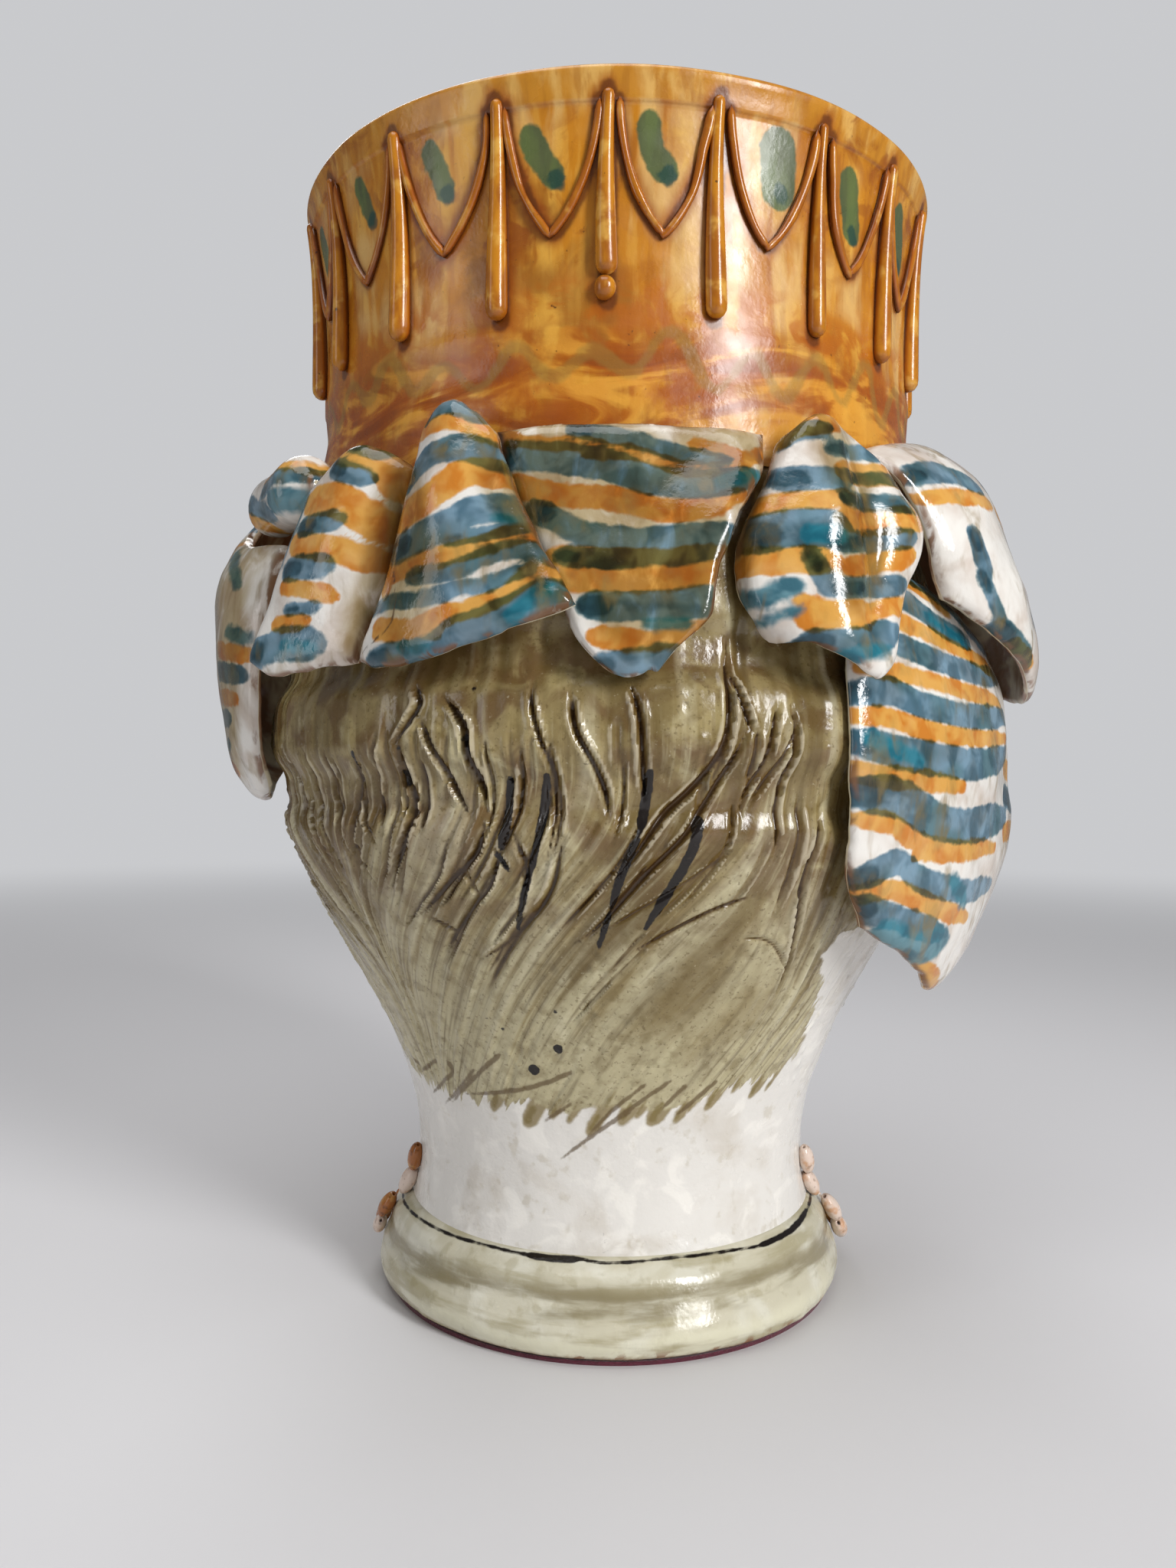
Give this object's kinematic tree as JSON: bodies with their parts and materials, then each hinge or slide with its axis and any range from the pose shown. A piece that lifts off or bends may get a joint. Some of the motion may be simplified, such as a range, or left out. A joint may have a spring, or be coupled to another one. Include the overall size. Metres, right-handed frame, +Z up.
{
  "type": "head vase",
  "caption": "Glazed earthenware vase shaped as a head with a tall open crown, a draped striped scarf, a bead necklace and a round foot with a felt pad.",
  "frame": {"origin": "on the vase's axis at the underside of the felt pad, on the surface that it stands on", "axes": "+Z up the vase's axis towards the crown, -Y towards the face, +Y towards the back of the head that the picture shows"},
  "size_m": [0.2698, 0.2524, 0.35],
  "materials": {
    "felt": "pressed felt",
    "bisque": "unglazed, matt",
    "foot_glaze": "gloss glaze with an olive wash",
    "neck_glaze": "gloss white glaze",
    "hair_glaze": "carved, gloss olive glaze pooled in the grooves",
    "skin_glaze": "gloss white glaze, painted features",
    "crown_glaze": "gloss amber glaze, brushed",
    "coil_glaze": "gloss burnt orange glaze",
    "scarf_glaze": "gloss white glaze with blue and orange brushed stripes",
    "bead_glaze": "gloss orange and white glaze"
  },
  "bodies": {
    "root": {"felt_pad": "felt", "base_floor": "bisque", "base_collar": "foot_glaze", "neck_wall": "neck_glaze", "hair_half": "hair_glaze", "face_half": "skin_glaze", "crown_wall": "crown_glaze", "back_panel": "scarf_glaze", "left_ridge": "scarf_glaze", "left_flap": "scarf_glaze", "left_roll": "scarf_glaze", "left_tail": "scarf_glaze", "right_gather": "scarf_glaze", "right_shoulder": "scarf_glaze", "right_tail": "scarf_glaze", "front_band": "scarf_glaze", "ear_left": "skin_glaze", "ear_right": "skin_glaze", "necklace_beads": "bead_glaze", "crown_drop_01": "coil_glaze", "crown_drop_02": "coil_glaze", "crown_drop_03": "coil_glaze", "crown_drop_04": "coil_glaze", "crown_drop_05": "coil_glaze", "crown_drop_06": "coil_glaze", "crown_drop_07": "coil_glaze", "crown_drop_08": "coil_glaze", "crown_drop_09": "coil_glaze", "crown_drop_10": "coil_glaze", "crown_drop_11": "coil_glaze", "crown_drop_12": "coil_glaze", "crown_drop_13": "coil_glaze", "crown_drop_14": "coil_glaze", "crown_drop_15": "coil_glaze", "crown_drop_16": "coil_glaze", "crown_drop_17": "coil_glaze", "crown_drop_18": "coil_glaze", "crown_drop_19": "coil_glaze", "crown_drop_20": "coil_glaze", "crown_loop_01": "coil_glaze", "crown_loop_02": "coil_glaze", "crown_loop_03": "coil_glaze", "crown_loop_04": "coil_glaze", "crown_loop_05": "coil_glaze", "crown_loop_06": "coil_glaze", "crown_loop_07": "coil_glaze", "crown_loop_08": "coil_glaze", "crown_loop_09": "coil_glaze", "crown_loop_10": "coil_glaze", "crown_loop_11": "coil_glaze", "crown_loop_12": "coil_glaze", "crown_loop_13": "coil_glaze", "crown_loop_14": "coil_glaze", "crown_loop_15": "coil_glaze", "crown_loop_16": "coil_glaze", "crown_loop_17": "coil_glaze", "crown_loop_18": "coil_glaze", "crown_loop_19": "coil_glaze", "crown_loop_20": "coil_glaze"}
  },
  "joints": []
}
